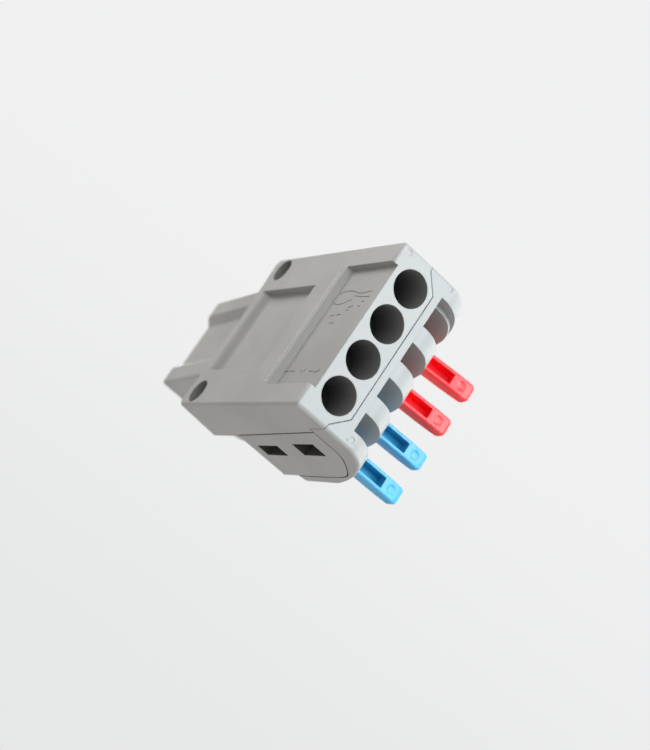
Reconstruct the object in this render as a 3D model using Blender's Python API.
"""Two-pole lever wire connector: four wire ports at the front, two at the rear.

Frame: +X towards the four-port face, +Z towards the levers, Z = 0 is the mounting
face. The blue pole is at +Y, the red pole at -Y. The origin is the centre of the
footprint. Sizes are in millimetres; the meshes are built in metres.
"""

from collections import namedtuple
from math import atan2, cos, pi, radians, sin

import bmesh
import bpy
import numpy as np
from mathutils import Matrix

for old in list(bpy.data.objects):
    bpy.data.objects.remove(old, do_unlink=True)

MM = 0.001

# ---------------------------------------------------------------- shared dimensions
# X stations are drawn with the four-port face at 24; finished pieces then move by
# TO_CENTRE, which puts the origin at the centre of the footprint.
LENGTH = 49.8
X_FRONT = 24.0
X_REAR = X_FRONT - LENGTH
TO_CENTRE = -(X_FRONT + X_REAR) / 2
HALF_W = 25.6 / 2  # half width of the wide front part
HALF_N = 15.0 / 2  # half width of the narrow rear part

PITCH = 5.6  # between neighbouring wires
INNER_Y = 0.5 * PITCH
OUTER_Y = 1.5 * PITCH
FRONT_Y = (OUTER_Y, INNER_Y, -INNER_Y, -OUTER_Y)
REAR_Y = (INNER_Y, -INNER_Y)

SEAM = 0.15  # gap along the outer parting lines
GAP = 0.30  # gap between pieces inside
OVERLAP = 0.01  # how far neighbouring cutters run into each other
NEAR = 0.01  # tolerance when picking edges by place

# Limits of cutters that run clear out of a piece
AHEAD = X_FRONT + 1.0
BEHIND = X_REAR - 1.0
FAR_SIDE = 20.0
ABOVE = 22.0
BELOW = -3.0

BASE_TOP = 7.0
FRONT_PLATE_TOP = 7.22
PLATE_HALF = 9.7  # half width of the front plate's full-height part
SHOULDER_Z = 5.03  # foot of the front plate's sloping shoulders
REAR_BASE_TOP = 8.2
REAR_PLATE_TOP = 8.9
X_BLOCK_REAR = -3.2  # rear end of the front cover and of the carrier's front block

CELL_HALF = 2.05
CELL_FRONT = 13.2
CELL_REAR = -0.6
REAR_CELL_BACK = X_REAR + 2.7
REAR_CELL_FRONT = -9.6

CARRIER_FRONT = 15.8
CHEEK_IN = 11.2  # inner face of the carrier's cheeks
# Side outline of a cheek: x, z
CHEEK = [
    (X_BLOCK_REAR, 6.98), (20.0, 5.88), (20.0, 10.0), (19.4, 11.4), (17.8, 13.2),
    (15.4, 15.0), (11.0, 15.45), (5.0, 15.6), (X_BLOCK_REAR, 15.6),
]

BUS_Z = 5.9
BUS_T = 0.5

PIN_R = 1.0  # lever pins

# One end of the connector. toward: X direction its wire ports face; pivot and heel:
# (x, z) of the lever's pin and of the spring's bend; arm: lever length from the pin.
End = namedtuple("End", "name toward pivot heel arm")
FRONT = End("front", 1, (7.5, 14.5), (2.5, 9.2), 11.9)
REAR = End("rear", -1, (X_REAR + 7.9, 14.9), (X_REAR + 12.9, 10.4), 10.6)

# Each clamp: end, place, y, opening angle of the lever in degrees
CLAMPS = (
    (FRONT, "blue_outer", OUTER_Y, 91.5),
    (FRONT, "blue_inner", INNER_Y, 95.0),
    (FRONT, "red_inner", -INNER_Y, 100.0),
    (FRONT, "red_outer", -OUTER_Y, 104.0),
    (REAR, "blue", INNER_Y, 0.0),
    (REAR, "red", -INNER_Y, 0.0),
)


# ---------------------------------------------------------------- plane outlines
def around(middle, half):
    return middle - half, middle + half


def side_span(side, inner, outer):
    """The span from inner to outer on the + or - side, in rising order."""
    return sorted((side * inner, side * outer))


def arc(centre, radius, steps, start, sweep):
    """Points of an arc, both ends included."""
    angles = [start + sweep * i / steps for i in range(steps + 1)]
    return [(centre[0] + radius * cos(a), centre[1] + radius * sin(a)) for a in angles]


def circle(centre, radius, steps=32):
    return arc(centre, radius, steps, 0.0, 2 * pi)[:-1]


def unit(vector):
    return vector / np.linalg.norm(vector)


def offset_polygon(points, distance):
    """Moves each side of a polygon outwards."""
    following = points[1:] + points[:1]
    area = sum(p[0] * q[1] - q[0] * p[1] for p, q in zip(points, following)) / 2
    turn = 1.0 if area > 0 else -1.0
    moved = []
    for i, point in enumerate(points):
        here = np.array(point)
        before = unit(here - np.array(points[i - 1]))
        after = unit(np.array(following[i]) - here)
        normal_before = turn * np.array([before[1], -before[0]])
        normal_after = turn * np.array([after[1], -after[0]])
        mitre = (normal_before + normal_after) / (1 + float(normal_before @ normal_after))
        moved.append(tuple(here + distance * mitre))
    return moved


def fillet(points, radii, steps=4):
    """Rounds corners of a closed polygon; radii maps a corner's index to its radius."""
    rounded = []
    for i, point in enumerate(points):
        if i not in radii:
            rounded.append(point)
            continue
        radius = radii[i]
        corner = np.array(point, float)
        back = unit(np.array(points[i - 1], float) - corner)
        ahead = unit(np.array(points[(i + 1) % len(points)], float) - corner)
        half = np.arccos(np.clip(back @ ahead, -1, 1)) / 2
        first = corner + back * (radius / np.tan(half))
        last = corner + ahead * (radius / np.tan(half))
        centre = corner + unit(back + ahead) * (radius / np.sin(half))
        start = atan2(first[1] - centre[1], first[0] - centre[0])
        stop = atan2(last[1] - centre[1], last[0] - centre[0])
        sweep = (stop - start + pi) % (2 * pi) - pi
        rounded += arc(centre, radius, steps, start, sweep)
    return rounded


def thicken(path, thickness):
    """Closed outline of a strip around its centre line, with mitred bends."""
    centres = [np.array(point) for point in path]
    left, right = [], []
    for i, centre in enumerate(centres):
        before = centre - centres[i - 1] if i else centres[1] - centre
        after = centres[i + 1] - centre if i < len(centres) - 1 else before
        before, after = unit(before), unit(after)
        normal_before = np.array([-before[1], before[0]])
        normal_after = np.array([-after[1], after[0]])
        mitre = (normal_before + normal_after) / (1 + float(normal_before @ normal_after))
        left.append(tuple(centre + mitre * thickness / 2))
        right.append(tuple(centre - mitre * thickness / 2))
    return left + right[::-1]


def hull(points):
    """Convex hull of points in a plane."""
    ordered = sorted({(round(float(x), 5), round(float(y), 5)) for x, y in points})

    def turn(first, second, third):
        return (second[0] - first[0]) * (third[1] - first[1]) - (
            second[1] - first[1]
        ) * (third[0] - first[0])

    def chain(sequence):
        kept = []
        for point in sequence:
            while len(kept) > 1 and turn(kept[-2], kept[-1], point) <= 1e-6:
                kept.pop()
            kept.append(point)
        return kept[:-1]

    return chain(ordered) + chain(ordered[::-1])


# ---------------------------------------------------------------- solids
def loft(low_ring, high_ring):
    """A closed solid between two rings of (x, y, z) points with equal counts."""
    bm = bmesh.new()
    low, high = (
        [bm.verts.new([value * MM for value in point]) for point in ring]
        for ring in (low_ring, high_ring)
    )
    bm.faces.new(low)
    bm.faces.new(high)
    count = len(low)
    for i in range(count):
        j = (i + 1) % count
        bm.faces.new((low[i], low[j], high[j], high[i]))
    bmesh.ops.recalc_face_normals(bm, faces=bm.faces)
    mesh = bpy.data.meshes.new("solid")
    bm.to_mesh(mesh)
    bm.free()
    obj = bpy.data.objects.new("solid", mesh)
    bpy.context.scene.collection.objects.link(obj)
    return obj


def prism(axis, points, span):
    """Prism along an axis; its points are (y, z), (x, z) or (x, y) for axis x, y or z."""
    slot = "xyz".index(axis)
    rings = [[(*p[:slot], level, *p[slot:]) for p in map(tuple, points)] for level in span]
    return loft(*rings)


def box(x_span, y_span, z_span):
    (x0, x1), (y0, y1) = x_span, y_span
    return prism("z", [(x0, y0), (x1, y0), (x1, y1), (x0, y1)], z_span)


def cone_along_x(centre, x_span, radii):
    """A tapered round solid along X; centre is (y, z)."""
    rings = [
        [(x, y, z) for y, z in circle(centre, radius)] for x, radius in zip(x_span, radii)
    ]
    return loft(*rings)


def bevel_edges(obj, width, segments, pick):
    """Rounds the edges for which pick(a, b, edge) is true; a and b are its ends in mm."""
    bm = bmesh.new()
    bm.from_mesh(obj.data)
    edges = [e for e in bm.edges if pick(e.verts[0].co / MM, e.verts[1].co / MM, e)]
    bmesh.ops.bevel(
        bm, geom=edges, offset=width * MM, offset_type="OFFSET", segments=segments,
        profile=0.5, affect="EDGES", clamp_overlap=True,
    )
    bmesh.ops.recalc_face_normals(bm, faces=bm.faces)
    bm.to_mesh(obj.data)
    bm.free()


def on_side(a, b, half):
    """True when the edge a-b lies in a side face at y = half or y = -half."""
    return abs(abs(a.y) - half) < NEAR and abs(a.y - b.y) < NEAR


def boolean(obj, tools, operation):
    """Combines obj with each tool in turn and removes the tools."""
    for tool in tools:
        modifier = obj.modifiers.new(operation, "BOOLEAN")
        modifier.operation = operation
        modifier.solver = "EXACT"
        modifier.object = tool
        graph = bpy.context.evaluated_depsgraph_get()
        result = bpy.data.meshes.new_from_object(obj.evaluated_get(graph))
        obj.modifiers.clear()
        previous = obj.data
        obj.data = result
        bpy.data.meshes.remove(previous)
        bpy.data.objects.remove(tool, do_unlink=True)


def cut(obj, *tools):
    boolean(obj, tools, "DIFFERENCE")


def join(obj, *tools):
    boolean(obj, tools, "UNION")


def tidy(obj):
    """Welds points that the cuts left within a hair of each other and drops slivers."""
    bm = bmesh.new()
    bm.from_mesh(obj.data)
    bmesh.ops.remove_doubles(bm, verts=bm.verts, dist=1e-6)
    bmesh.ops.dissolve_degenerate(bm, edges=bm.edges, dist=1e-6)
    bmesh.ops.dissolve_limit(bm, angle_limit=radians(0.05), verts=bm.verts, edges=bm.edges)
    bmesh.ops.triangulate(bm, faces=bm.faces)
    bm.to_mesh(obj.data)
    bm.free()


def finish(obj, name, material, sharp_angle):
    tidy(obj)
    obj.name = name
    obj.data.name = name
    obj.data.materials.clear()
    obj.data.materials.append(material)
    obj.data.shade_smooth()
    obj.data.set_sharp_from_angle(angle=radians(sharp_angle))


def finish_fixed(obj, name, material):
    """Finishes a fixed piece; its origin stays at the centre of the footprint."""
    finish(obj, name, material, sharp_angle=30)
    obj.data.transform(Matrix.Translation((TO_CENTRE * MM, 0.0, 0.0)))


def finish_turned(obj, name, material, sharp_angle, centre, y, turn):
    """Finishes a piece whose origin is its own centre (x, z), turned about Y."""
    finish(obj, name, material, sharp_angle)
    obj.location = ((centre[0] + TO_CENTRE) * MM, y * MM, centre[1] * MM)
    obj.rotation_euler = (0.0, turn, 0.0)


# ---------------------------------------------------------------- materials
def make_material(name, colour, roughness, metallic=0.0):
    material = bpy.data.materials.new(name)
    material.use_nodes = True
    shader = material.node_tree.nodes["Principled BSDF"]
    shader.inputs["Base Color"].default_value = (*colour, 1.0)
    shader.inputs["Roughness"].default_value = roughness
    shader.inputs["Metallic"].default_value = metallic
    material.diffuse_color = (*colour, 1.0)
    return material


GREY = make_material("grey_housing", colour=(0.36, 0.355, 0.35), roughness=0.45)
GREY_COVER = make_material("grey_cover", colour=(0.375, 0.37, 0.365), roughness=0.42)
GREY_CARRIER = make_material("grey_carrier", colour=(0.33, 0.33, 0.325), roughness=0.45)
BLUE = make_material("blue_lever", colour=(0.10, 0.50, 0.82), roughness=0.35)
RED = make_material("red_lever", colour=(0.78, 0.035, 0.045), roughness=0.35)
COPPER = make_material(
    "tinned_copper", colour=(0.72, 0.55, 0.33), roughness=0.32, metallic=1.0
)
STEEL = make_material(
    "spring_steel", colour=(0.62, 0.61, 0.58), roughness=0.28, metallic=1.0
)

# ---------------------------------------------------------------- base housing
RIM_R = 0.45  # rims underneath
CORNER_R = 0.55  # upright corners
EAR_CORNER_R = 1.2
EAR_DRAFT = 1.0  # how far the ears' rear walls lean back at the top
X_EAR_REAR = -10.3  # outer end of the ears' slightly slanted rear walls
X_EAR_ROOT = -9.7  # their inner end
REAR_LIFT = 0.35  # height of the narrow end's underside at X_EAR_REAR
REAR_SLOPE = 0.0912  # its further rise per mm towards the rear
PLATE_BACK = 16.0  # rear of the front plate
REAR_PLATE_T = 2.4

# Plan of the wide part: x, y
WIDE_PLAN = [
    (X_FRONT, HALF_W), (X_EAR_REAR, HALF_W), (X_EAR_ROOT, HALF_N - 0.5),
    (X_EAR_ROOT, 0.5 - HALF_N), (X_EAR_REAR, -HALF_W), (X_FRONT, -HALF_W),
]
NARROW_FRONT = X_EAR_REAR + 4.0  # hidden inside the wide part
NARROW_PLAN = [
    (NARROW_FRONT, HALF_N), (X_REAR, HALF_N), (X_REAR, -HALF_N), (NARROW_FRONT, -HALF_N),
]

# Sections cut off the +Y shoulder of the front plate: y, z
SHOULDER_CUT = [
    (PLATE_HALF, FRONT_PLATE_TOP), (12.05, SHOULDER_Z), (14.0, SHOULDER_Z),
    (14.0, 12.0), (PLATE_HALF, 12.0),
]
INNER_SHOULDER_CUT = [
    (PLATE_HALF, FRONT_PLATE_TOP), (10.95, 6.055), (10.95, 12.0), (PLATE_HALF, 12.0),
]
SHOULDER_SPLIT = 20.0  # x where the inner shoulder cut meets the outer one
# Sloping top of the band under each cheek: x, z
BAND_CUT = [(20.4, 5.66), (-3.4, 6.78), (-3.4, 12.0), (20.4, 12.0)]

# Recesses in the underside: half width, then outline x, z
UNDERSIDE_CUTS = (
    (9.6, [(AHEAD, -1.0), (AHEAD, 0.9), (13.1, 0.9), (12.9, -1.0)]),
    # middle panel with a soft rear slope
    (6.9, [(7.1, -1.0), (6.9, 1.15), (-5.7, 1.15), (-8.3, 0.0), (-8.3, -1.0)]),
    # shallow valley that leaves a low ridge along the front panel
    (9.3, [(11.15, -1.0), (11.15, 0.0), (11.6, 0.14), (12.05, 0.0), (12.05, -1.0)]),
)
# Rear recess between two runners, before it follows the rising underside: y, z
REAR_PANEL = [(-4.8, 0.0), (-3.5, 1.0), (3.5, 1.0), (4.8, 0.0), (4.8, BELOW), (-4.8, BELOW)]
REAR_PANEL_FRONT = -9.4

PORT_R = 2.47
CONDUCTOR_R = 1.75
PORT_Z = 4.14
REAR_PORT_Z = 5.7
PORT_END = 15.6  # x of the inner end of a front port's straight mouth
REAR_PORT_END = X_REAR + 1.6
THROAT_BITE = 0.2  # how far a throat cutter reaches into the cell
CELL_FLOOR = 1.55
REAR_CELL_FLOOR = 2.75
BUS_CHANNEL_HALF = 1.6  # channels from the front cells to the rear ones
CHANNEL_OVERLAP = 0.5
BUS_FLOOR = BUS_Z - GAP
CROSS_CHANNEL_FRONT = 1.9  # channel that joins both front cells of a pole
CROSS_CHANNEL_MARGIN = 1.5

EAR_HOLE = (-6.5, 10.55)
EAR_HOLE_R = 1.77


def rear_lift(x):
    """Height of the narrow end's underside."""
    return REAR_LIFT + REAR_SLOPE * (X_EAR_REAR - x)


def round_rim(obj):
    def pick(a, b, edge):
        if abs(a.z) > 0.02 or abs(b.z) > 0.02 or len(edge.link_faces) != 2:
            return False
        first, second = edge.link_faces
        return abs(first.normal.z - second.normal.z) > 0.5

    bevel_edges(obj, RIM_R, 3, pick)


def make_wide_body():
    radii = {0: CORNER_R, 1: EAR_CORNER_R, 4: EAR_CORNER_R, 5: CORNER_R}
    wide = prism("z", fillet(WIDE_PLAN, radii), (0.0, FRONT_PLATE_TOP))
    round_rim(wide)
    for vert in wide.data.vertices:
        if vert.co.x / MM < X_EAR_ROOT + 1.0:
            vert.co.x -= EAR_DRAFT * vert.co.z / FRONT_PLATE_TOP
    return wide


def make_narrow_body():
    """The narrow end, tapering upwards underneath."""
    plan = fillet(NARROW_PLAN, {1: CORNER_R, 2: CORNER_R})
    narrow = prism("z", plan, (0.0, REAR_PLATE_TOP))
    round_rim(narrow)
    for vert in narrow.data.vertices:
        if vert.co.z / MM < 2.0:
            vert.co.z += max(0.0, rear_lift(vert.co.x / MM)) * MM
    return narrow


def cut_base_top(base):
    across = (-FAR_SIDE, FAR_SIDE)
    rear_end = REAR_CELL_FRONT + OVERLAP
    cut(base, box((REAR_CELL_FRONT, PLATE_BACK), across, (BASE_TOP, ABOVE)))
    cut(base, box((X_REAR + REAR_PLATE_T, rear_end), across, (REAR_BASE_TOP, ABOVE)))
    ear_span = (X_EAR_REAR - 2.0, rear_end + OVERLAP)
    for side in (1, -1):
        cut(base, box(ear_span, side_span(side, HALF_N, FAR_SIDE), (BASE_TOP, ABOVE)))
    for side in (1, -1):
        outer = [(side * y, z) for y, z in SHOULDER_CUT]
        cut(base, prism("x", outer, (SHOULDER_SPLIT, AHEAD)))
        inner = [(side * y, z) for y, z in INNER_SHOULDER_CUT]
        cut(base, prism("x", inner, (PLATE_BACK, SHOULDER_SPLIT + OVERLAP)))
        cut(base, prism("y", BAND_CUT, side_span(side, CHEEK_IN - GAP, FAR_SIDE)))


def cut_underside(base):
    for half, outline in UNDERSIDE_CUTS:
        cut(base, prism("y", outline, (-half, half)))
    panel = prism("x", REAR_PANEL, (BEHIND, REAR_PANEL_FRONT))
    for vert in panel.data.vertices:
        vert.co.z += rear_lift(vert.co.x / MM) * MM
    cut(base, panel)


def cut_port(base, centre, toward, outside, port_end, cell_end):
    """A straight mouth and the tapered throat from it to the cell; centre is (y, z)."""
    cut(base, prism("x", circle(centre, PORT_R), sorted((port_end, outside))))
    throat = (cell_end - toward * THROAT_BITE, port_end + toward * 2 * OVERLAP)
    cut(base, cone_along_x(centre, throat, (CONDUCTOR_R, PORT_R - OVERLAP)))


def make_base():
    base = make_wide_body()
    join(base, make_narrow_body())
    cut_base_top(base)
    cut_underside(base)
    for y in FRONT_Y:
        cut_port(base, (y, PORT_Z), 1, AHEAD, PORT_END, CELL_FRONT)
        cut(base, box((CELL_REAR, CELL_FRONT), around(y, CELL_HALF), (CELL_FLOOR, ABOVE)))
    channel = (REAR_CELL_FRONT - CHANNEL_OVERLAP, CELL_REAR + CHANNEL_OVERLAP)
    for y in REAR_Y:
        cut_port(base, (y, REAR_PORT_Z), -1, BEHIND, REAR_PORT_END, REAR_CELL_BACK)
        cell = (REAR_CELL_BACK, REAR_CELL_FRONT)
        cut(base, box(cell, around(y, CELL_HALF), (REAR_CELL_FLOOR, ABOVE)))
        cut(base, box(channel, around(y, BUS_CHANNEL_HALF), (BUS_FLOOR, ABOVE)))
    for side in (1, -1):
        across = side_span(
            side, INNER_Y - CROSS_CHANNEL_MARGIN, OUTER_Y + CROSS_CHANNEL_MARGIN
        )
        cut(base, box((CELL_REAR, CROSS_CHANNEL_FRONT), across, (BUS_FLOOR, ABOVE)))
        hole = circle((EAR_HOLE[0], side * EAR_HOLE[1]), EAR_HOLE_R)
        cut(base, prism("z", hole, (BELOW, ABOVE)))
    finish_fixed(base, "base_housing", GREY)


# ---------------------------------------------------------------- contact carrier
CARRIER_BOTTOM = BASE_TOP + GAP
CARRIER_TOP = 11.3
BLOCK_INSET = 0.7  # the front block stands in from the outer sides
CHEEK_R = 0.8  # upright rear corners of the cheeks
# Low neck between the blocks, and the rear block: x span, half width, z span
NECK = ((-9.3, -3.0), HALF_N - GAP, (CARRIER_BOTTOM, 9.6))
REAR_BLOCK = ((REAR_CELL_BACK, -9.0), 5.9, (REAR_BASE_TOP + GAP, 12.5))
# Grooves in the block's top, ahead of the cells
GROOVE_SPAN = (CELL_FRONT - 0.1, CARRIER_FRONT - 0.9)
GROOVE_HALF = 1.4
GROOVE_FLOOR = 9.3
# Windows through the cheeks: x, z
WINDOWS = (
    [(-0.3, 9.05), (5.5, 8.95), (5.5, 11.1), (-0.3, 11.1)],
    [(10.4, 8.45), (16.1, 8.35), (16.1, 10.8), (10.4, 10.8)],
)
WINDOW_IN = OUTER_Y + CELL_HALF - 0.4
# Saddles that keep the lever pins up: they stand on the walls between the cells
SADDLE_HALF_X = 0.85
SADDLE_HALF_Y = PITCH / 2 - CELL_HALF - 0.02
# end, y, z of the foot
SADDLES = ((FRONT, 0.0, 10.0), (FRONT, PITCH, 10.0), (FRONT, -PITCH, 10.0), (REAR, 0.0, 11.0))


def make_cheek(side):
    cheek = prism("y", CHEEK, side_span(side, CHEEK_IN, HALF_W))

    def rear_corner(a, b, _edge):
        return on_side(a, b, HALF_W) and max(a.x, b.x) < X_BLOCK_REAR + 0.1

    bevel_edges(cheek, CHEEK_R, 3, rear_corner)
    return cheek


def make_carrier():
    block_half = HALF_W - BLOCK_INSET
    block_x = (X_BLOCK_REAR, CARRIER_FRONT)
    carrier = box(block_x, (-block_half, block_half), (CARRIER_BOTTOM, CARRIER_TOP))
    join(carrier, make_cheek(1), make_cheek(-1))
    for x_span, half, z_span in (NECK, REAR_BLOCK):
        join(carrier, box(x_span, (-half, half), z_span))
    for y in FRONT_Y:
        cut(carrier, box((CELL_REAR, CELL_FRONT), around(y, CELL_HALF), (BELOW, ABOVE)))
        cut(carrier, box(GROOVE_SPAN, around(y, GROOVE_HALF), (GROOVE_FLOOR, ABOVE)))
    for y in REAR_Y:
        cut(carrier, box((BEHIND, REAR_CELL_FRONT), around(y, CELL_HALF), (BELOW, ABOVE)))
    for side in (1, -1):
        for window in WINDOWS:
            cut(carrier, prism("y", window, side_span(side, WINDOW_IN, FAR_SIDE)))
    for end, y, foot in SADDLES:
        pin_x, pin_z = end.pivot
        z_span = (foot, pin_z - PIN_R - GAP)
        join(carrier, box(around(pin_x, SADDLE_HALF_X), around(y, SADDLE_HALF_Y), z_span))
    finish_fixed(carrier, "contact_carrier", GREY_CARRIER)


# ---------------------------------------------------------------- lever covers
EDGE_R = 0.5  # long upper edges
COVER_TOP = 17.2
COVER_TOP_REAR = 16.0
TOP_STEP_X = 1.8  # the front cover's top steps down behind here
TOP_STEP_RUN = 0.5
COVER_FLOOR = 11.6
COVER_FOOT = SHOULDER_Z + SEAM
PLATE_SEAM = FRONT_PLATE_TOP + SEAM
SLOT_HALF = 1.5
SLOT_FLOOR = 8.4
FIN_SETBACK = 2.4  # of the fins between the slots, behind the face
PIN_SEAT_R = PIN_R + 0.06

# Front face and brow: distance back from the face, z
FRONT_BROW = [
    (0.0, 9.4), (0.55, 10.6), (1.75, 12.15), (3.5, 13.5), (5.8, 14.75),
    (8.5, 15.85), (11.5, 16.75), (13.6, COVER_TOP),
]
SETBACK_FADE = (9.4, 6.3)  # z where the setback starts to fade, and height to nothing
# +Y half of the opening over the front plate and its shoulders: y, z
FOOT_OPENING = [(PLATE_HALF, PLATE_SEAM), (12.35, 4.9), (14.0, 4.9), (14.0, 0.0)]
FOOT_OPENING_REAR = 15.0
# Lengths of a front lever slot: rear x, front x, floor z
FRONT_SLOT = ((16.0, AHEAD, SLOT_FLOOR), (1.6, 16.2, SLOT_FLOOR), (-8.0, 1.7, 13.1))
FIN_HALF = 10.5  # half width of the front cover's set-back zone
FRONT_SEATS = ((-10.98, -5.7), (-5.9, 0.0), (-0.1, 5.9), (5.7, 10.98))  # y spans

# Rear face and brow: distance ahead of the face, z
REAR_BROW = [
    (0.0, 10.0), (0.5, 11.4), (1.4, 12.9), (2.6, 14.3), (4.1, 15.6), (5.8, 16.6),
    (7.8, COVER_TOP),
]
# The same for the set-back fins, carried up clear of the cover
REAR_FIN_BROW = [
    (1.5, 10.0), (1.5, 10.6), (2.1, 12.1), (3.2, 13.6), (4.8, 15.1), (6.4, 16.2),
    (8.6, 17.3), (8.6, ABOVE),
]
REAR_COVER_FRONT = -9.3
REAR_FACE_T = 2.6  # thickness of the rear cover's foot above the rear plate
# Top, stepping down to the front wall, then the underside back to the face: x, z
REAR_COVER_REST = [
    (-11.6, COVER_TOP), (-11.1, 16.5), (REAR_COVER_FRONT, 16.5),
    (REAR_COVER_FRONT, REAR_BASE_TOP + SEAM), (X_REAR + REAR_FACE_T, REAR_BASE_TOP + SEAM),
    (X_REAR + REAR_FACE_T, REAR_PLATE_TOP + SEAM),
]
REAR_COVER_FLOOR = 12.8
REAR_ROOM_HALF = 6.2
REAR_FIN_HALF = 4.9
REAR_SLOT = ((BEHIND, -10.9, 10.0), (-11.0, -5.0, 13.6))  # as FRONT_SLOT
REAR_SEATS = ((-5.45, 5.45),)


def front_brow(floor, setback):
    """Front face and brow as x, z from the foot up; the setback fades towards the crown."""
    fade_start, fade_height = SETBACK_FADE
    points = []
    for back, z in [(0.0, floor)] + FRONT_BROW:
        extra = max(0.0, setback * (1 - max(0.0, z - fade_start) / fade_height))
        points.append((X_FRONT - (back + extra), z))
    return points


def cut_slots(cover, places, lengths):
    for y in places:
        for x0, x1, floor in lengths:
            cut(cover, box((x0, x1), around(y, SLOT_HALF), (floor, ABOVE)))


def cut_pin_seats(cover, pivot, spans):
    """Open-bottomed seats of the lever pins."""
    seat = arc(pivot, PIN_SEAT_R, 16, 0.0, pi)
    seat += [(pivot[0] - PIN_SEAT_R, BELOW), (pivot[0] + PIN_SEAT_R, BELOW)]
    for span in spans:
        cut(cover, prism("y", seat, span))


def cut_room_for_carrier(cover):
    across = (-FAR_SIDE, FAR_SIDE)
    cut(cover, box((-5.0, CARRIER_FRONT + GAP), across, (BELOW, COVER_FLOOR)))
    cut(cover, box((CARRIER_FRONT, 20.0), across, (BELOW, PLATE_SEAM)))
    # cheek outline with a seam around it, open to the rear and below
    grown = [
        (x if x > -3.0 else -6.0, z if z > 7.0 else BELOW)
        for x, z in offset_polygon(CHEEK, SEAM)
    ]
    for side in (1, -1):
        cut(cover, prism("y", grown, side_span(side, CHEEK_IN - SEAM, FAR_SIDE)))


def make_front_cover():
    outline = front_brow(COVER_FOOT, 0.0) + [
        (TOP_STEP_X, COVER_TOP), (TOP_STEP_X - TOP_STEP_RUN, COVER_TOP_REAR),
        (X_BLOCK_REAR, COVER_TOP_REAR), (X_BLOCK_REAR, COVER_FOOT),
    ]
    cover = prism("y", outline, (-HALF_W, HALF_W))

    def long_edge(a, b, _edge):
        at_foot = abs(a.z - COVER_FOOT) < 0.02 and abs(b.z - COVER_FOOT) < 0.02
        at_rear = max(a.x, b.x) <= X_BLOCK_REAR + NEAR
        return on_side(a, b, HALF_W) and not at_rear and not at_foot

    bevel_edges(cover, EDGE_R, 3, long_edge)
    opening = [(-y, z) for y, z in FOOT_OPENING] + FOOT_OPENING[::-1]
    cut(cover, prism("x", opening, (FOOT_OPENING_REAR, AHEAD)))
    cut_room_for_carrier(cover)
    # set the fins back; the top two brow stations stay with the crown
    brow = front_brow(SLOT_FLOOR, FIN_SETBACK)[:-2]
    shell = [(AHEAD, SLOT_FLOOR)] + brow + [(brow[-1][0] - 0.01, ABOVE), (AHEAD, ABOVE)]
    cut(cover, prism("y", shell, (-FIN_HALF, FIN_HALF)))
    cut_slots(cover, FRONT_Y, FRONT_SLOT)
    cut_pin_seats(cover, FRONT.pivot, FRONT_SEATS)
    finish_fixed(cover, "front_lever_cover", GREY_COVER)


def make_rear_cover():
    foot = REAR_PLATE_TOP + SEAM
    face = [(X_REAR + ahead, z) for ahead, z in REAR_BROW]
    cover = prism("y", [(X_REAR, foot)] + face + REAR_COVER_REST, (-HALF_N, HALF_N))

    def long_edge(a, b, _edge):
        return on_side(a, b, HALF_N) and max(a.z, b.z) > foot + 0.1

    bevel_edges(cover, EDGE_R, 3, long_edge)
    room_x = (REAR_CELL_BACK - GAP, -5.0)
    room_y = (-REAR_ROOM_HALF, REAR_ROOM_HALF)
    cut(cover, box(room_x, room_y, (BELOW, REAR_COVER_FLOOR)))
    brow = [(X_REAR + ahead, z) for ahead, z in REAR_FIN_BROW]
    shell = [(BEHIND, brow[0][1])] + brow + [(BEHIND, ABOVE)]
    cut(cover, prism("y", shell, (-REAR_FIN_HALF, REAR_FIN_HALF)))
    cut_slots(cover, REAR_Y, REAR_SLOT)
    cut_pin_seats(cover, REAR.pivot, REAR_SEATS)
    finish_fixed(cover, "rear_lever_cover", GREY_COVER)


# ---------------------------------------------------------------- busbars
REAR_BUS_Z = 7.1
TONGUE_HALF = 1.1
BRIDGE_X = (-0.3, 1.6)
TONGUE_X = (1.0, 12.5)
BUS_Z_SPAN = (BUS_Z, BUS_Z + BUS_T)
REAR_TONGUE_END = X_REAR + 3.4
# Link to the rear clamp, stepping up to the higher rear port: x, z
BUS_LINK = [
    (0.5, BUS_Z), (0.5, BUS_Z + BUS_T), (-9.95, BUS_Z + BUS_T), (-11.15, REAR_BUS_Z + BUS_T),
    (REAR_TONGUE_END, REAR_BUS_Z + BUS_T), (REAR_TONGUE_END, REAR_BUS_Z),
    (-10.95, REAR_BUS_Z), (-9.75, BUS_Z),
]


def make_busbar(name, side):
    across = side_span(side, INNER_Y - TONGUE_HALF, OUTER_Y + TONGUE_HALF)
    bar = box(BRIDGE_X, across, BUS_Z_SPAN)
    for y in (side * INNER_Y, side * OUTER_Y):
        join(bar, box(TONGUE_X, around(y, TONGUE_HALF), BUS_Z_SPAN))
    join(bar, prism("y", BUS_LINK, around(side * INNER_Y, TONGUE_HALF)))
    finish_fixed(bar, name, COPPER)


# ---------------------------------------------------------------- clamp springs
HEEL_R = 1.4
LEAF_T = 0.35
LEAF_HALF = 1.7
LEAF_LEN = 9.0
LEAF_BEND_R = 0.7  # bend from the top leaf down into the cage
CAGE_DROP = 6.2
WINDOW_HALF = 1.35
WINDOW_RISE = (0.6, 5.0)  # bottom and top of the window above the cage's lower end
LEAF_CLOSED = 4.0  # elevation of the top leaf with the lever closed, degrees
SPRING_RATIO = 0.22  # turn of the leaf per turn of the lever


def leaf_elevation(lever_angle):
    """Elevation of the top leaf; both angles are in radians."""
    return radians(LEAF_CLOSED) - SPRING_RATIO * lever_angle


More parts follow.
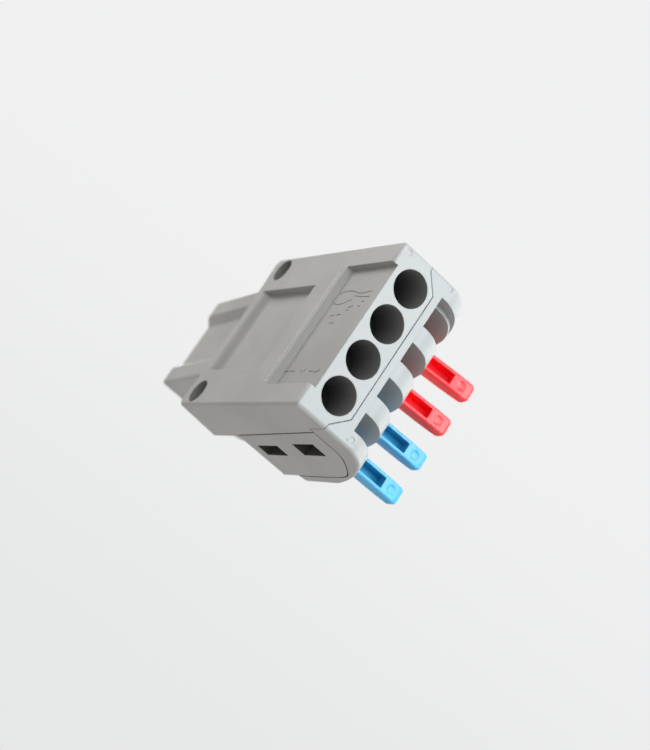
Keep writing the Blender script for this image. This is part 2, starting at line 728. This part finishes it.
def spring_path():
    """Centre line about the heel, as (along, up) with the top leaf level."""
    top = HEEL_R - LEAF_T / 2
    end = LEAF_LEN - LEAF_T / 2
    bend_x, bend_z = end - LEAF_BEND_R, top - LEAF_BEND_R
    path = [(top * cos(a), top * sin(a)) for a in np.linspace(radians(-60), radians(-270), 13)]
    path.append((bend_x, top))
    path += [
        (bend_x + LEAF_BEND_R * sin(a), bend_z + LEAF_BEND_R * cos(a))
        for a in np.linspace(radians(22.5), radians(90), 4)
    ]
    path.append((end, HEEL_R - CAGE_DROP))
    return path


def make_spring(end, place, y, angle):
    path = [(end.toward * along, up) for along, up in spring_path()]
    spring = prism("y", thicken(path, LEAF_T), (-LEAF_HALF, LEAF_HALF))
    # window for the conductor and the busbar tongue
    x_span = side_span(end.toward, LEAF_LEN - 1.0, LEAF_LEN + 1.0)
    z_span = [HEEL_R - CAGE_DROP + rise for rise in WINDOW_RISE]
    cut(spring, box(x_span, (-WINDOW_HALF, WINDOW_HALF), z_span))
    name = f"{end.name}_clamp_spring_{place}"
    turn = -end.toward * leaf_elevation(radians(angle))
    finish_turned(spring, name, STEEL, 40, end.heel, y, turn)


# ---------------------------------------------------------------- levers
PIN_HALF = 2.4
HUB_R = 2.0
HUB_HALF = 1.3
CAM_CLEARANCE = 0.22  # between the cam and the spring's top leaf
CAM_ANGLES = (-2.0, 106.0)  # lever angles the cam covers, degrees
ARM_HALF = 1.28
ARM_TOP = 2.0  # above the pivot
ARM_T = 2.7
TIP_R = 0.42
# Side outline of the arm's outer end: distance in from the tip, distance below the top
ARM_END = [
    (3.2, 0.0), (1.6, 0.12), (0.35, 0.25), (0.0, 0.65), (0.0, 1.75), (0.35, 2.25),
    (4.0, ARM_T),
]


def cam_outline(end):
    """Cam that keeps the spring's flat top leaf just clear of it at every lever angle.

    The distance from the pivot to the leaf is the cam's support distance at each angle.
    Local axes: (along, up) with the lever closed and `along` pointing to the wire port.
    """
    (pivot_x, pivot_z), (heel_x, heel_z) = end.pivot, end.heel
    offset = np.array([end.toward * (pivot_x - heel_x), pivot_z - heel_z])
    normals, support = [], []
    for angle in np.radians(np.linspace(*CAM_ANGLES, 45)):
        leaf = leaf_elevation(angle)
        up = np.array([-sin(leaf), cos(leaf)])
        support.append(float(offset @ up) - HEEL_R - CAM_CLEARANCE)
        normals.append(atan2(-up[1], -up[0]) + angle)
    normals = np.unwrap(normals)
    support = np.array(support)
    slopes = np.gradient(support, normals)
    points = [
        (reach * cos(a) - slope * sin(a), reach * sin(a) + slope * cos(a))
        for a, reach, slope in zip(normals, support, slopes)
    ]
    return hull(points + circle((0, 0), HUB_R, 28))


def make_lever(end, place, y, angle):
    """Lever about its pivot; when closed its arm points away from the wire port."""
    tip, away = end.arm, -end.toward
    side = [(0.0, ARM_TOP)] + [(tip - back, ARM_TOP - down) for back, down in ARM_END]
    side.append((0.0, ARM_TOP - ARM_T))
    lever = prism("y", [(away * along, up) for along, up in side], (-ARM_HALF, ARM_HALF))

    def tip_edge(a, b, _edge):
        at_tip = abs(abs(a.x) - tip) < 0.4 and abs(abs(b.x) - tip) < 0.4
        return at_tip and on_side(a, b, ARM_HALF)

    bevel_edges(lever, TIP_R, 2, tip_edge)
    cam = [(end.toward * along, up) for along, up in cam_outline(end)]
    join(lever, prism("y", cam, (-HUB_HALF, HUB_HALF)))
    join(lever, prism("y", circle((0.0, 0.0), PIN_R, 24), (-PIN_HALF, PIN_HALF)))
    # long trough in the arm's top, and a shallow recess near the tip
    for inner, outer, half, depth in (
        (4.0, tip - 3.5, 0.80, 2.1),
        (tip - 2.6, tip - 1.2, 0.72, 0.15),
    ):
        z_span = (ARM_TOP - depth, ARM_TOP + 1.0)
        cut(lever, box(side_span(away, inner, outer), (-half, half), z_span))
    name = f"{end.name}_lever_{place}"
    material = BLUE if "blue" in place else RED
    finish_turned(lever, name, material, 35, end.pivot, y, end.toward * radians(angle))


# ---------------------------------------------------------------- build
make_base()
make_carrier()
make_front_cover()
make_rear_cover()
make_busbar("busbar_blue_pole", 1)
make_busbar("busbar_red_pole", -1)
for clamp in CLAMPS:
    make_lever(*clamp)
    make_spring(*clamp)
